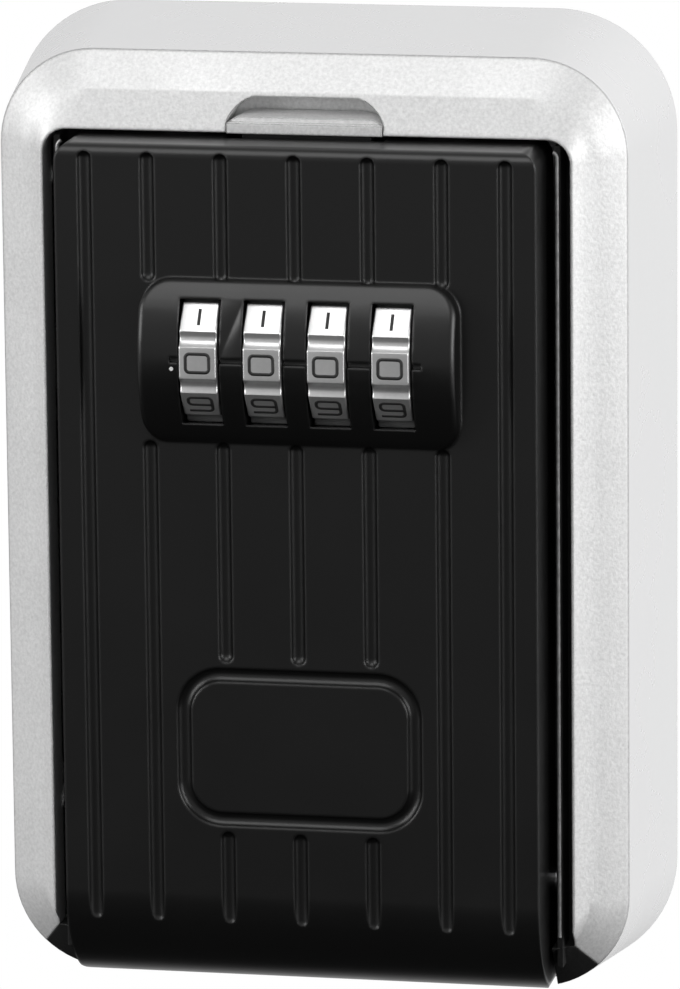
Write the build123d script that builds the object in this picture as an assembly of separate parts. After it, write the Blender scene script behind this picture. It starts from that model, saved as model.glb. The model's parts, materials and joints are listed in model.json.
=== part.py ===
from build123d import *
from math import cos, radians, sin
import os

# A wall-mounted key box with a four-wheel combination lock. Sizes are in millimetres.
# The origin is the middle of the wall face, +X to the right seen from the front, +Z up.
# A depth is a distance forward from the wall, along -Y.

# Case and front frame
case_width = 86.8
case_height = 126.8
case_depth = 21.0
case_corner = 15.4
case_taper = 3.0
case_wall = 1.8
back_wall = 2.0
frame_bevel = 3.9
frame_bevel_rise = 3.0
frame_side_band = 2.7
frame_top_band = 5.7
frame_band_rise = 1.9
frame_land = 0.3
frame_corner = 3.0
ridge_soft = 0.7
leg_end_height = 6.5
leg_end_slope = 1.25
notch_half_width = 10.1
notch_side = 1.3
notch_top_half = 6.8
notch_height = 4.45
notch_bow = 0.35
notch_plate_half_width = 12.4
notch_plate_sheet = 1.4
notch_plate_reach = 7.0

# Holes for the screws into the wall
wall_hole_spacing_x = 40.0
wall_hole_spacing_z = 70.0
wall_hole_centre_z = 5.0
wall_hole_radius = 2.75

# Door
door_depth = 33.06
door_side_gap = 3.1
door_top_gap = 0.6
door_drop = 0.15
door_wall = 1.8
door_rim_depth = 20.0
door_corner = 2.2
door_top_round = 1.5
curl_radius = 14.0
curl_tail = 28.0
curl_corner = 2.0
curl_side_room = 0.7
curl_back_room = 0.5
curl_room_height = 8.0
groove_pitch = 9.38
outer_groove_offset = 8.05
groove_radius = 0.95
groove_sink = 0.75
groove_top_gap = 1.8
groove_run_out = 3.4
pad_width = 29.8
pad_height = 18.9
pad_corner = 4.8
pad_above_bottom = 33.35
pad_groove_gap = 1.6

# Dial housing, wheels and spindle
axis_below_top = 26.6
axis_behind_front = 4.26
lock_shift = 0.8
wheel_count = 4
wheel_pitch = 8.18
wheel_width = 4.75
wheel_radius = 9.7
facet_count = 10
facet_sink = 0.2
valley_radius = 1.15
valley_rise = 0.65
housing_half_width = 20.3
housing_above_axis = 9.9
housing_below_axis = 11.7
housing_rise_top = 1.4
housing_rise_axis = 4.5
housing_rise_bottom = -0.4
housing_corner = 4.0
housing_round = 0.9
groove_end_above = 0.3
groove_end_below = 0.4
window_width = 5.3
window_above_axis = 7.7
window_below_axis = 8.4
wheel_clearance = 0.3
spindle_radius = 1.5
hub_radius = 2.45
cup_radius = 5.0
cup_rim = 0.7
cup_disc = 0.7
cup_depth = 1.1
gate_width = 1.4
index_groove = 0.7
index_groove_depth = 0.6
index_groove_lift = 0.2

# Lock parts
travel = 2.4
lever_travel = 2.5
lever_half_height = 1.5
lever_arm_sheet = 0.8
tab_depth = 4.6
tab_half_width = 9.95
tab_core_half_width = 8.3
tab_strip = 1.25
tab_strip_drop = 0.1
tab_step = 0.7
tab_slope = 0.55
tab_wall = 0.8
tab_front_wall = 1.5
tab_top_wall = 1.2
cover_depth = 14.8
cover_sheet = 1.0
cover_below_axis = 33.6
cover_side_gap = 0.6
latch_gap = 0.7
latch_sheet = 1.0
bolt_x = 17.0
bolt_width = 5.0
bolt_thickness = 1.9
bolt_rest_gap = 0.5
keeper_width = 7.0
keeper_sheet = 1.2
keeper_height = 6.2
bracket_sheet = 2.0
tine_sheet = 0.9
fence_pin_radius = 0.45
leaf_sheet = 0.4
leaf_half_width = 15.0
leaf_tip = 1.1
finger_half_width = 1.6
post_radius = 2.4
pin_radius = 1.5
pin_head = 0.9

# Springs: coil and wire radii and turns
tab_spring = (1.2, 0.25, 6)
latch_spring = (0.85, 0.2, 5)
sleeve_spring = (2.1, 0.25, 4)
tab_spring_x = 8.0

# Screws and rivets. A reach is how far a tip goes into the frame.
screw_shank = 1.0
screw_head = 1.9
screw_head_height = 1.1
screw_hole = 1.3
screw_slot = 0.6
screw_slot_depth = 0.5
frame_screw_shank = 1.2
frame_screw_head_height = 1.4
frame_screw_sink = 1.6
frame_screw_reach = 1.4
liner_screw_reach = 2.4
keeper_screw_reach = 2.0
cover_screw_head = 2.0
cover_screw_head_height = 1.2
cover_screw_length = 6.0
rivet_radius = 0.8
rivet_head_height = 0.4
leaf_rivet_head = 1.5
comb_rivet_head = 1.4

# Clearances, and how far joined forms sink into each other and cutting forms pass a surface
running = 0.05
seat = 0.05
slip = 0.3
tip_room = 0.2
head_room = 0.2
join = 0.5
past = 1.0

# Places worked out from the sizes above: the case and its frame
crease_half_width = case_width / 2 - case_taper
crease_half_height = case_height / 2 - case_taper
ridge_depth = case_depth + frame_bevel_rise
frame_front = ridge_depth + frame_band_rise
opening_half_width = crease_half_width - frame_bevel - frame_side_band
opening_top = crease_half_height - frame_bevel - frame_top_band
leg_end = -crease_half_height + leg_end_height

# The door and its hinge
door_half_width = opening_half_width - door_side_gap
door_top = opening_top - door_top_gap
door_bottom = -crease_half_height - door_drop
door_inner = door_depth - door_wall
hinge_depth = door_depth - curl_radius
hinge_z = door_bottom + curl_radius
curl_tail_depth = hinge_depth - curl_radius * sin(radians(curl_tail))
pad_z = door_bottom + pad_above_bottom

# The wheels, their sleeves and brackets
axis_z = door_top - axis_below_top
axis_depth = door_depth - axis_behind_front
wheel_centres = [lock_shift + wheel_pitch * (i - (wheel_count - 1) / 2) for i in range(wheel_count)]
wheel_left = wheel_centres[0] - wheel_width / 2
wheel_right = wheel_centres[-1] + wheel_width / 2
wheel_back = axis_depth - wheel_radius
wheel_gap = wheel_pitch - wheel_width
tine_right = -wheel_width / 2 - 0.225
cup_open = tine_right - tine_sheet - 0.15
bracket_left = wheel_left - wheel_gap - 3.9
bracket_right = wheel_right + 3.15

# The lock's cover, latch, comb, click leaf and code lever
cover_inner = cover_depth + cover_sheet
cover_bottom = axis_z - cover_below_axis
cover_top = door_top - door_wall - 0.4
cover_half_width = door_half_width - door_wall - cover_side_gap
post_x = door_half_width - door_wall - 4.3
post_heights = (cover_bottom + 5.0, door_top - 6.2)
latch_back = cover_inner + latch_gap
latch_front = latch_back + latch_sheet
spring_foot = axis_z + 9.2
shoulder_z = spring_foot + 4.2
tine_bottom = axis_z + 2.85
tine_top = tine_bottom + 4.15
pin_rest_z = axis_z + 3.45
comb_left = wheel_centres[0] + tine_right - tine_sheet - 1.0
comb_right = wheel_centres[-1] + tine_right + 1.5
comb_back = latch_front + seat
comb_front = comb_back + 0.8
tine_to_rivet = tine_right + (wheel_pitch - tine_sheet) / 2
comb_rivet_x = (wheel_centres[0] + tine_to_rivet, wheel_centres[-2] + tine_to_rivet)
comb_rivet_z = tine_bottom + 2.1
leaf_rivet_x = (lock_shift - 9.0, lock_shift + 9.0)
leaf_rivet_z = axis_z - 19.0
lever_z = axis_z - 28.0
knob_x = lock_shift - 10.3

# The release tab
tab_back = case_depth + 0.4
tab_front = tab_back + tab_depth
tab_top = opening_top + 2.4
tab_flange_top = door_top - door_wall - 0.1
tab_flange_bottom = tab_flange_top - 2.8
tab_ledge_top = axis_z + 12.8
shelf_top = tab_ledge_top + 1.6

# The liner, its screws, and the screw columns of the case
liner_inner = door_half_width + 1.0
liner_sheet = 1.6
lip_sheet = 0.8
liner_outer = liner_inner + liner_sheet
liner_bottom = hinge_z - 10.6
liner_screw_x = liner_outer + 2.3
liner_screw_z = (-20.0, 20.0)
liner_back = back_wall + slip
liner_top = opening_top + 2.2
liner_lap = 0.2
flange_sheet = 1.5
flange_width = 4.6
flange_half_height = 4.0
lip_setback = 0.7
corner_setback = 0.5
corner_gap = 0.35
keeper_bottom = opening_top + 0.4
keeper_screw_z = keeper_bottom + 3.8
screw_column_x = (liner_outer + crease_half_width - case_wall) / 2
column_z = [crease_half_height - 16.4, hinge_z + 8.6]
column_split = case_depth - 4.0


def block(x0, x1, d0, d1, z0, z1):
    centre = Pos((x0 + x1) / 2, -(d0 + d1) / 2, (z0 + z1) / 2)
    return centre * Box(abs(x1 - x0), abs(d1 - d0), abs(z1 - z0))


def rod_x(depth, z, radius, x0, x1):
    return Pos((x0 + x1) / 2, -depth, z) * Rot(0, 90, 0) * Cylinder(radius, x1 - x0)


def rod_y(x, z, radius, d0, d1):
    return Pos(x, -(d0 + d1) / 2, z) * Rot(90, 0, 0) * Cylinder(radius, d1 - d0)


def side_plate(points, x0, x1):
    # A flat plate drawn in the side view, from (depth, z) points, and thick along X
    outline = Polyline([(-depth, z) for depth, z in points], close=True)
    return extrude(Plane.YZ.offset(x0) * make_face(outline), x1 - x0)


def front_face(half_width, top, bottom, corner, depth):
    size = RectangleRounded(2 * half_width, top - bottom, corner)
    return Plane.XZ.offset(depth) * Pos(0, (top + bottom) / 2) * size


def front_slab(half_width, top, bottom, corner, d0, d1):
    return extrude(front_face(half_width, top, bottom, corner, d0), d1 - d0)


def save(node, shape):
    solids = shape.solids() if hasattr(shape, "solids") else [s for part in shape for s in part.solids()]
    export_step(Compound(children=list(solids), label=node), f"parts/{node}.step")


def case_section(depth, inset):
    drawn_in = case_taper * depth / case_depth + inset
    half_height = case_height / 2 - drawn_in
    return front_face(case_width / 2 - drawn_in, half_height, -half_height, case_corner - drawn_in, depth)


def screw(x, z, head_depth, tip_depth, shank, head, head_height):
    # A round-headed screw along Y. The head stands behind head_depth, towards the wall.
    body = rod_y(x, z, shank, head_depth, tip_depth)
    top = head_depth - head_height
    cap = rod_y(x, z, head, top, head_depth)
    slot = block(x - head, x + head, top, top + screw_slot_depth, z - screw_slot / 2, z + screw_slot / 2)
    return body + (cap - slot)


def case_shell():
    shell = loft([case_section(0, 0).face(), case_section(case_depth, 0).face()], ruled=True)
    hollow = loft([case_section(back_wall, case_wall).face(),
                   case_section(case_depth + past, case_wall).face()], ruled=True)
    shell -= hollow
    for side in (1, -1):
        for z in column_z:
            x = side * screw_column_x
            shell += rod_y(x, z, post_radius, back_wall - join, column_split)
            shell -= rod_y(x, z, frame_screw_shank + slip, 0, column_split)
            shell -= rod_y(x, z, post_radius + head_room, 0, frame_screw_sink)
    # Room under the door for the curled edge to turn in
    room = door_half_width + curl_side_room
    shell -= block(-room, room, curl_tail_depth - curl_back_room, case_depth + past,
                   -case_height / 2 - past, -crease_half_height + curl_room_height)
    for x in (-wall_hole_spacing_x / 2, wall_hole_spacing_x / 2):
        for z in (-wall_hole_spacing_z / 2, wall_hole_spacing_z / 2):
            shell -= rod_y(x, wall_hole_centre_z + z, wall_hole_radius, -past, back_wall + past)
    return shell


def frame_section(inset, depth):
    half_height = crease_half_height - inset
    corner = case_corner - case_taper - inset
    return front_face(crease_half_width - inset, half_height, -half_height, corner, depth).face()


def frame_dome():
    # The bevel, the softened ridge and the inner band, as bands between one outline and the next
    before = frame_bevel - ridge_soft
    after = frame_bevel + ridge_soft
    inner = front_face(opening_half_width + frame_land, opening_top + frame_land,
                       -crease_half_height + frame_bevel + frame_side_band,
                       frame_corner + frame_land, frame_front).face()
    outlines = [frame_section(0, case_depth),
                frame_section(before, ridge_depth - ridge_soft * frame_bevel_rise / frame_bevel),
                frame_section(after, ridge_depth + ridge_soft / 2), inner]
    dome = None
    for low, high in zip(outlines, outlines[1:]):
        band = loft([low, high], ruled=True)
        dome = band if dome is None else dome + band
    return dome


def notch_outline():
    # The finger notch over the tab: upright sides, then bowed ones up to a shorter top edge
    low = opening_top - 6.0
    corner_z = opening_top + notch_side
    top_z = opening_top + notch_height
    bow_x = (notch_half_width + notch_top_half) / 2 + notch_bow
    bow_z = (corner_z + top_z) / 2 + notch_bow
    right = ThreePointArc((notch_half_width, corner_z), (bow_x, bow_z), (notch_top_half, top_z))
    left = ThreePointArc((-notch_top_half, top_z), (-bow_x, bow_z), (-notch_half_width, corner_z))
    rest = Polyline([(-notch_half_width, corner_z), (-notch_half_width, low), (notch_half_width, low),
                     (notch_half_width, corner_z)])
    return make_face(right + Line((notch_top_half, top_z), (-notch_top_half, top_z)) + left + rest)


def leg_cut(side, lower, d0, d1):
    # What lies below the slanted end of one frame leg, and inwards of it
    reach = 20.0
    end = leg_end - lower
    points = [(0, end), (side * opening_half_width, end),
              (side * (opening_half_width + reach), end - leg_end_slope * reach),
              (side * (opening_half_width + reach), -case_height), (0, -case_height)]
    return extrude(Plane.XZ.offset(d0) * make_face(Polyline(points, close=True)), d1 - d0)


def front_frame(dome):
    opening = front_slab(opening_half_width, opening_top, leg_end - 40, frame_corner, case_depth - 6,
                         frame_front + 5)
    frame = dome - opening
    for side in (1, -1):
        frame -= leg_cut(side, 0, case_depth - past, frame_front + past)
    frame += block(-notch_plate_half_width, notch_plate_half_width, case_depth - notch_plate_sheet,
                   case_depth, keeper_bottom, opening_top + notch_plate_reach)
    frame -= extrude(Plane.XZ.offset(case_depth) * notch_outline(), 10)
    for side in (1, -1):
        for z in column_z:
            x = side * screw_column_x
            frame += rod_y(x, z, post_radius, column_split + seat, case_depth + join)
            frame -= rod_y(x, z, frame_screw_shank + running, column_split,
                           case_depth + frame_screw_reach + tip_room)
        for z in liner_screw_z:
            frame -= rod_y(side * liner_screw_x, z, screw_shank + running, case_depth - past,
                           case_depth + liner_screw_reach + tip_room)
        frame -= rod_y(side * bolt_x, keeper_screw_z, screw_shank + running, case_depth - past,
                       case_depth + keeper_screw_reach + tip_room)
    return frame


def inner_liner(dome):
    flange_back = case_depth - flange_sheet
    liner = None
    for side in (1, -1):
        plate = block(side * liner_inner, side * liner_outer, liner_back, case_depth - 2 * seat,
                      liner_bottom, liner_top)
        lip = block(side * liner_inner, side * (liner_inner + lip_sheet), case_depth - join,
                    frame_front - lip_setback, liner_bottom + 0.6, opening_top - 0.9)
        corner = dome & leg_cut(side, 2 * seat, case_depth, frame_front - corner_setback)
        corner &= block(side * (door_half_width + corner_gap), side * case_width, case_depth, frame_front,
                        -case_height, 0)
        tie = block(side * liner_inner, side * liner_outer, case_depth - liner_lap, case_depth + join,
                    liner_bottom, liner_bottom + 2.0)
        half = plate + lip + corner + tie
        for z in liner_screw_z:
            half += block(side * (liner_outer - liner_lap), side * (liner_outer + flange_width), flange_back,
                          case_depth, z - flange_half_height, z + flange_half_height)
            half -= rod_y(side * liner_screw_x, z, screw_hole, flange_back - past, case_depth + past)
        half -= rod_x(hinge_depth, hinge_z, pin_radius + 0.02, side * liner_inner - 6,
                      side * liner_inner + 6)
        liner = half if liner is None else liner + half
    liner += block(-liner_outer, liner_outer, liner_back, latch_back + liner_lap,
                   liner_top - liner_sheet, liner_top)
    return liner


def keeper(side):
    plate = block(side * (bolt_x - keeper_width / 2), side * (bolt_x + keeper_width / 2),
                  case_depth - keeper_sheet, case_depth, keeper_bottom, keeper_bottom + keeper_height)
    return plate - rod_y(side * bolt_x, keeper_screw_z, screw_hole, case_depth - 3, case_depth + past)


def keeper_screw(side):
    return screw(side * bolt_x, keeper_screw_z, case_depth - keeper_sheet, case_depth + keeper_screw_reach,
                 screw_shank, screw_head, screw_head_height)


def liner_screws():
    screws = []
    for side in (1, -1):
        for z in liner_screw_z:
            head_depth = case_depth - flange_sheet
            screws.append(screw(side * liner_screw_x, z, head_depth, case_depth + liner_screw_reach,
                                screw_shank, screw_head, screw_head_height))
    return screws


def frame_screws():
    screws = []
    for side in (1, -1):
        for z in column_z:
            screws.append(screw(side * screw_column_x, z, frame_screw_sink, case_depth + frame_screw_reach,
                                frame_screw_shank, post_radius, frame_screw_head_height))
    return screws


def hinge_pin(side):
    inside = door_half_width - door_wall - 2 * seat
    shank = rod_x(hinge_depth, hinge_z, pin_radius, inside, liner_outer - 2 * seat)
    head = rod_x(hinge_depth, hinge_z, pin_radius + pin_head, inside - pin_head, inside)
    pin = shank + head
    return pin if side > 0 else mirror(pin, Plane.YZ)


def door_side(inset, back, tail):
    # Side view of the door: top, front, and the curl round the hinge pin
    front = door_depth - inset
    radius = curl_radius - inset
    top = door_top - inset
    end = (hinge_depth - radius * sin(radians(tail)), hinge_z - radius * cos(radians(tail)))
    low = Polyline([(-back[0], top), (-front, top), (-front, hinge_z)])
    middle = radians(45 - tail / 2)
    halfway = (-(hinge_depth + radius * sin(middle)), hinge_z - radius * cos(middle))
    curl = ThreePointArc((-front, hinge_z), halfway, (-end[0], end[1]))
    rest = Polyline([(-end[0], end[1])] + [(-depth, z) for depth, z in back[1]] + [(-back[0], top)])
    return make_face(low + curl + rest)


def door_solid(inset, back, tail):
    half = door_half_width - inset
    profile = extrude(Plane.YZ.offset(-half) * door_side(inset, back, tail), 2 * half)
    if inset == 0:
        edges = [e for e in profile.edges().filter_by(Axis.X) if abs(e.center().Y + door_depth) < 0.01
                 and e.center().Z > 0]
        profile = fillet(edges, door_top_round)
    return profile


def front_outline(inset, d0, d1):
    half = door_half_width - inset
    bottom = door_bottom + inset
    top_corner = max(door_corner - inset, 0.4)
    low_corner = curl_corner - inset
    slab = extrude(Plane.XZ.offset(d0) * Pos(0, (door_top - inset + bottom) / 2)
                   * Rectangle(2 * half, door_top - inset - bottom), d1 - d0)
    tall = slab.edges().filter_by(Axis.Y)
    slab = fillet([e for e in tall if e.center().Z > 0], top_corner)
    tall = slab.edges().filter_by(Axis.Y)
    corners = [e for e in tall if e.center().Z < 0 and abs(e.center().Z - bottom) < 0.01]
    return fillet(corners, low_corner)


def groove(x, top, bottom):
    # A round-bottomed groove down the front
    centre_depth = door_depth + groove_radius - groove_sink
    tool = Pos(x, -centre_depth, (top + bottom) / 2) * Cylinder(groove_radius, top - bottom)
    tool += Pos(x, -centre_depth, bottom) * Sphere(groove_radius)
    return tool + Pos(x, -centre_depth, top) * Sphere(groove_radius)


def pad_groove():
    half_w = pad_width / 2
    half_h = pad_height / 2
    centre_depth = door_depth + groove_radius - groove_sink
    tool = None
    for sx in (1, -1):
        place = Pos(sx * half_w, -centre_depth, pad_z)
        upright = place * Cylinder(groove_radius, pad_height - 2 * pad_corner)
        tool = upright if tool is None else tool + upright
        for sz in (1, -1):
            x = sx * (half_w - pad_corner)
            z = pad_z + sz * (half_h - pad_corner)
            ring = Pos(x, -centre_depth, z) * Rot(90, 0, 0) * Torus(pad_corner, groove_radius)
            quarter = block(x, x + sx * 10, centre_depth - 3, centre_depth + 3, z, z + sz * 10)
            tool += ring & quarter
    for sz in (1, -1):
        length = pad_width - 2 * pad_corner
        tool += rod_x(centre_depth, pad_z + sz * half_h, groove_radius, -length / 2, length / 2)
    return tool


def housing():
    # The barrel-shaped rise round the wheels, which sinks into the panel at its lower edge
    top = axis_z + housing_above_axis
    bottom = axis_z - housing_below_axis
    high = (-(door_depth + housing_rise_top), top)
    middle = (-(door_depth + housing_rise_axis), axis_z)
    low = (-(door_depth + housing_rise_bottom), bottom)
    crown = ThreePointArc(high, middle, low)
    sides = Polyline([low, (-door_inner, bottom), (-door_inner, top), high])
    body = extrude(Plane.YZ.offset(lock_shift - housing_half_width) * make_face(crown + sides),
                   2 * housing_half_width)
    body &= Pos(lock_shift, 0, 0) * front_slab(housing_half_width, top, bottom, housing_corner, 0,
                                               door_depth + 2 * housing_rise_axis)
    front = [e for e in body.edges() if -e.center().Y > door_inner + housing_round]
    return fillet(front, housing_round)


def door_shell():
    back_line = [(hinge_depth - 4.6, hinge_z), (hinge_depth - 4.6, hinge_z + 4.6),
                 (door_rim_depth, hinge_z + 10.4)]
    outer = door_solid(0, (door_rim_depth, back_line), curl_tail)
    outer &= front_outline(0, 0, door_depth + 5)
    open_line = [(2.0, hinge_z + 2), (2.0, hinge_z + 20)]
    inner = door_solid(door_wall, (2.0, open_line), 75)
    inner &= front_outline(door_wall, 0, door_depth + 5)
    shell = outer - inner
    shell += housing()
    for x in wheel_centres:
        half = window_width / 2
        shell -= block(x - half, x + half, door_inner - 1, door_depth + 8,
                       axis_z - window_below_axis, axis_z + window_above_axis)
        shell -= rod_x(axis_depth, axis_z, wheel_radius + wheel_clearance, x - half, x + half)
    shell -= rod_x(axis_depth, axis_z, cup_radius + 0.4, wheel_left - wheel_gap - 0.2, wheel_right + 0.3)
    line_z = axis_z + index_groove_lift
    shell -= block(lock_shift - 16.0, lock_shift + 16.1, door_depth + housing_rise_axis - index_groove_depth,
                   door_depth + 2 * housing_rise_axis, line_z - index_groove / 2, line_z + index_groove / 2)
    # Grooves down the front, which run out where the curl begins
    top = door_top - groove_top_gap
    groove_end = hinge_z - groove_run_out
    housing_top = axis_z + housing_above_axis + groove_end_above
    housing_bottom = axis_z - housing_below_axis - groove_end_below
    pad_top = pad_z + pad_height / 2 + pad_groove_gap + groove_radius
    pad_bottom = pad_z - pad_height / 2 - pad_groove_gap - groove_radius
    for place in range(-3, 4):
        x = place * groove_pitch
        if abs(place) == 3:
            x = (2 * groove_pitch + outer_groove_offset) * (1 if place > 0 else -1)
            shell -= groove(x, top, groove_end)
            continue
        shell -= groove(x, top, housing_top)
        if abs(place) == 2:
            shell -= groove(x, housing_bottom, groove_end)
        else:
            shell -= groove(x, housing_bottom, pad_top)
            shell -= groove(x, pad_bottom, groove_end)
    shell -= pad_groove()
    # The opening that the tab slides in, and the ledges under its springs
    shell -= block(-tab_half_width - slip, tab_half_width + slip, tab_back - slip, tab_front + slip,
                   door_top - 4, door_top + 1)
    for side in (1, -1):
        shell += block(side * (tab_spring_x - 2.2), side * (tab_spring_x + 2.2), tab_back + 0.9,
                       door_inner + join, tab_ledge_top - 1.4, tab_ledge_top)
        for z in post_heights:
            shell += rod_y(side * post_x, z, post_radius, cover_inner + seat, door_inner + join)
            shell -= rod_y(side * post_x, z, screw_shank + running, cover_inner,
                           cover_inner + cover_screw_length + join)
        shell -= rod_x(hinge_depth, hinge_z, pin_radius + running, side * door_half_width - 3,
                       side * door_half_width + 3)
    return shell


def lock_cover():
    half = cover_half_width
    cover = block(-half, half, cover_depth, cover_inner, cover_bottom, cover_top)
    for side in (1, -1):
        cover += block(side * (half - cover_sheet), side * half, cover_depth, door_rim_depth + 3,
                       cover_bottom, cover_top)
        cover += block(side * (bolt_x - 0.5), side * (bolt_x + 3.5), cover_inner - 0.2, latch_front + 0.8,
                       spring_foot - 1.0, spring_foot)
    cover += block(-half, half, cover_depth, door_inner - 0.2, cover_bottom, cover_bottom + cover_sheet)
    cover += block(-half, half, cover_depth, door_rim_depth + 0.2, cover_top - cover_sheet, cover_top)
    for side in (1, -1):
        reach = bolt_width / 2 + slip
        cover -= block(side * (bolt_x - reach), side * (bolt_x + reach), latch_front - 0.3,
                       door_rim_depth + 1, cover_top - 2, cover_top + 1)
        for z in post_heights:
            cover -= rod_y(side * post_x, z, screw_hole, cover_depth - past, cover_inner + past)
    for x in leaf_rivet_x:
        cover -= rod_y(x, leaf_rivet_z, rivet_radius + running, cover_depth - past, cover_inner + past)
    room = lever_half_height + slip
    cover -= block(knob_x - room - lever_travel, knob_x + room, cover_depth - past, cover_inner + past,
                   lever_z - room, lever_z + room)
    return cover


def cover_screws():
    screws = []
    for side in (1, -1):
        for z in post_heights:
            screws.append(screw(side * post_x, z, cover_depth, cover_inner + cover_screw_length,
                                screw_shank, cover_screw_head, cover_screw_head_height))
    return screws


def number_wheel(x):
    half = wheel_width / 2
    wheel = rod_x(axis_depth, axis_z, wheel_radius, x - half, x + half)
    turn = 180 / facet_count
    prism = Plane.YZ.offset(x - half) * Rot(0, 0, turn) * RegularPolygon(
        wheel_radius - facet_sink, facet_count, major_radius=False)
    valley_centre = wheel_radius + valley_rise
    wheel &= Pos(0, -axis_depth, axis_z) * extrude(prism, wheel_width)
    for i in range(facet_count):
        angle = radians((i + 0.5) * 360 / facet_count)
        valley = rod_x(axis_depth + valley_centre * cos(angle), axis_z + valley_centre * sin(angle),
                       valley_radius, x - half - 1, x + half + 1)
        wheel -= valley
    return wheel - rod_x(axis_depth, axis_z, hub_radius + running, x - half - 1, x + half + 1)


def dial_sleeve(x):
    rim_left = x + cup_open - cup_depth
    # The hub reaches nearly to the next sleeve, and the last one ends flush with its wheel
    hub_right = x + wheel_width / 2
    if x < wheel_centres[-1]:
        hub_right = rim_left - cup_disc + wheel_pitch - slip - seat
    sleeve = rod_x(axis_depth, axis_z, cup_radius, rim_left - cup_disc, x + cup_open)
    sleeve -= rod_x(axis_depth, axis_z, cup_radius - cup_rim, rim_left, x + cup_open + 1)
    sleeve += rod_x(axis_depth, axis_z, hub_radius, rim_left - 0.1, hub_right)
    sleeve -= rod_x(axis_depth, axis_z, spindle_radius + running, x - 12, x + 12)
    gate = block(rim_left, x + cup_open + 1, axis_depth - gate_width / 2, axis_depth + gate_width / 2,
                 axis_z + hub_radius + 1.0, axis_z + cup_radius + 1)
    return sleeve - gate


def bracket(x0):
    plate = block(x0, x0 + bracket_sheet, cover_inner + seat, door_inner - seat,
                  axis_z - 8.6, axis_z + 7.6)
    return plate - rod_x(axis_depth, axis_z, spindle_radius + running, x0 - 1, x0 + bracket_sheet + 1)


def spindle():
    return rod_x(axis_depth, axis_z, spindle_radius, bracket_left - bracket_sheet - 1.6,
                 bracket_right + bracket_sheet + 1.6)


def spindle_clip(x0):
    ring = rod_x(axis_depth, axis_z, spindle_radius + 0.8, x0, x0 + 0.8)
    ring -= rod_x(axis_depth, axis_z, spindle_radius + 0.02, x0 - 1, x0 + 2)
    mouth = block(x0 - 1, x0 + 2, axis_depth - 0.9, axis_depth + 0.9, axis_z - 5, axis_z)
    return ring - mouth


def spring(height, coil_radius, wire_radius, turns):
    # A coil along Z that stands on z = 0, wire and all
    rise = height - 2 * wire_radius
    path = Helix(rise / turns, rise, coil_radius)
    section = Plane(origin=path @ 0, z_dir=path % 0) * Circle(wire_radius)
    return Pos(0, 0, wire_radius) * sweep(section, path, is_frenet=True)


def tab_springs():
    height = tab_flange_bottom - tab_ledge_top - 2 * seat
    coil = spring(height, *tab_spring)
    return [Pos(side * tab_spring_x, -(tab_back + 2.6), tab_ledge_top + seat) * coil for side in (1, -1)]


def latch_springs():
    height = shoulder_z - spring_foot - 2 * seat
    coil = spring(height, *latch_spring)
    return [Pos(side * (bolt_x + 1.5), -(latch_back + latch_sheet / 2), spring_foot + seat) * coil
            for side in (1, -1)]


def clutch_spring():
    length = bracket_right - wheel_right - 0.4
    coil = spring(length, *sleeve_spring)
    return Pos(wheel_right + 0.2, -axis_depth, axis_z) * Rot(0, 90, 0) * coil


def latch_plate():
    top = cover_top - cover_sheet - travel - 0.2
    plate = block(-bolt_x - 3, bolt_x + 3, latch_back, latch_front, shoulder_z, top)
    plate += block(comb_left, comb_right, latch_back, latch_front, tine_bottom, shoulder_z + 1)
    plate += block(-5, 5, latch_front - 0.5, tab_back + 1.1, shelf_top - 2, shelf_top)
    for side in (1, -1):
        plate += block(side * (bolt_x - bolt_width / 2), side * (bolt_x + bolt_width / 2),
                       latch_front - 0.1, latch_front + bolt_thickness, shoulder_z + 1.5,
                       door_top + bolt_rest_gap)
    for x in comb_rivet_x:
        plate -= rod_y(x, comb_rivet_z, rivet_radius + running, latch_back - past, latch_front + past)
    return plate


def locking_comb():
    comb = block(comb_left, comb_right, comb_back, comb_front, tine_bottom, tine_top)
    for x in wheel_centres:
        right = x + tine_right
        comb += block(right - tine_sheet, right, comb_front - 0.3, axis_depth + 0.6,
                      tine_bottom, tine_top)
        comb += rod_x(axis_depth, pin_rest_z, fence_pin_radius, right - tine_sheet - 1.1, right - 0.3)
    for x in comb_rivet_x:
        comb -= rod_y(x, comb_rivet_z, rivet_radius + running, comb_back - past, comb_front + past)
    return comb


def rivet(x, z, d0, d1, head):
    heads = rod_y(x, z, head, d0 - rivet_head_height, d0) + rod_y(x, z, head, d1, d1 + rivet_head_height)
    return rod_y(x, z, rivet_radius, d0, d1) + heads


def release_tab():
    # The core under the cap, with a flange that holds it in the door and a foot over the latch
    top = tab_top - tab_top_wall
    half = tab_core_half_width
    shape = Polyline([(-half, door_top - 4), (half, door_top - 4), (half, top - 0.9), (half - 0.9, top),
                      (-half + 0.9, top), (-half, top - 0.9)], close=True)
    tab = extrude(Plane.XZ.offset(tab_back + tab_wall) * make_face(shape),
                  tab_depth - tab_wall - tab_front_wall)
    tab += block(-11.5, 11.5, tab_back, tab_front + 1.6, tab_flange_bottom, tab_flange_top)
    tab += block(-4, 4, tab_back - 1.4, tab_back + 2.6, shelf_top + travel + 0.1, tab_flange_bottom + 0.5)
    return tab


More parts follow.
